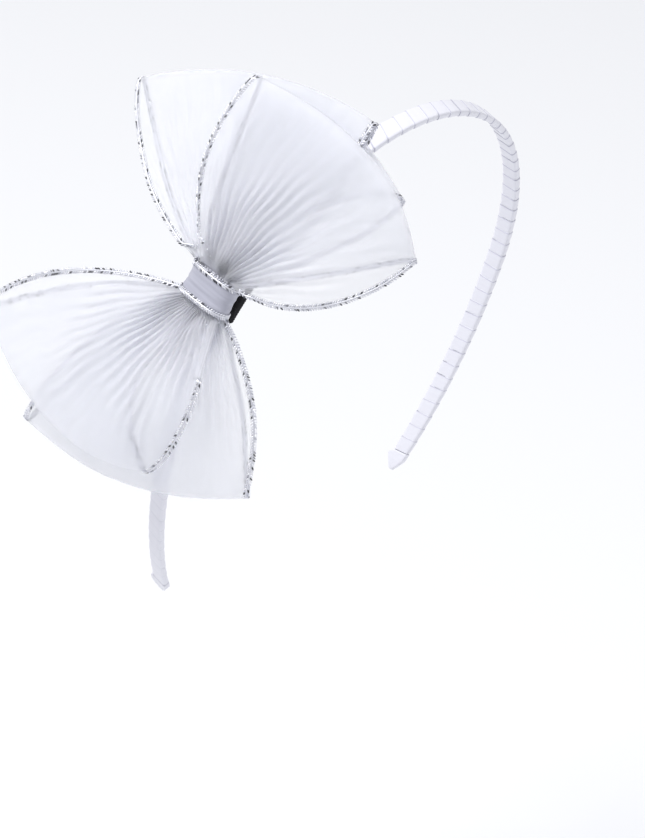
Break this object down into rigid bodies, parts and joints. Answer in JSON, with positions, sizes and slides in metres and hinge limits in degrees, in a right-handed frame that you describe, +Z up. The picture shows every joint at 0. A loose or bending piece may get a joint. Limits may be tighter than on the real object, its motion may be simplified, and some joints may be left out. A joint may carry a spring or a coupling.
{
  "type": "bow headband",
  "caption": "Narrow hard headband wound with white satin ribbon, with a sheer white ribbon bow with silver stitched edges on one side, tied by a knot ribbon and a black elastic sleeve.",
  "frame": {"origin": "inside of the band at the crown, in the middle of its width, where the band sits on the head", "axes": "+Z up as worn, -Y the way the wearer faces, -X the wearer's right, where the bow is; the band's plane leans 18.5 degrees, its crown forward"},
  "size_m": [0.1641, 0.13, 0.1796],
  "materials": {
    "white_satin": "white satin ribbon, smooth with a soft sheen",
    "sheer_ribbon": "sheer white organza ribbon, fine weave, faint lavender tint",
    "knot_ribbon": "close-woven pale lavender-grey ribbon",
    "silver_stitches": "sparkling silver thread in twisted stitches",
    "black_elastic": "matt black elastic"
  },
  "bodies": {
    "root": {"wound_band": "white_satin", "ribbon_end_right": "white_satin", "ribbon_end_left": "white_satin", "black_elastic": "black_elastic", "knot_ribbon": "knot_ribbon", "gathered_middle": "sheer_ribbon", "silver_knot_edge_upper": "silver_stitches", "silver_knot_edge_lower": "silver_stitches", "upper_under_loop": "sheer_ribbon", "silver_upper_under_loop_back": "silver_stitches", "silver_upper_under_loop_front": "silver_stitches", "upper_rear_loop": "sheer_ribbon", "silver_upper_rear_loop_back": "silver_stitches", "silver_upper_rear_loop_front": "silver_stitches", "upper_front_loop": "sheer_ribbon", "silver_upper_front_loop_back": "silver_stitches", "silver_upper_front_loop_front": "silver_stitches", "lower_rear_loop": "sheer_ribbon", "silver_lower_rear_loop_back": "silver_stitches", "silver_lower_rear_loop_front": "silver_stitches", "lower_front_loop": "sheer_ribbon", "silver_lower_front_loop_back": "silver_stitches", "silver_lower_front_loop_front": "silver_stitches"}
  },
  "joints": []
}
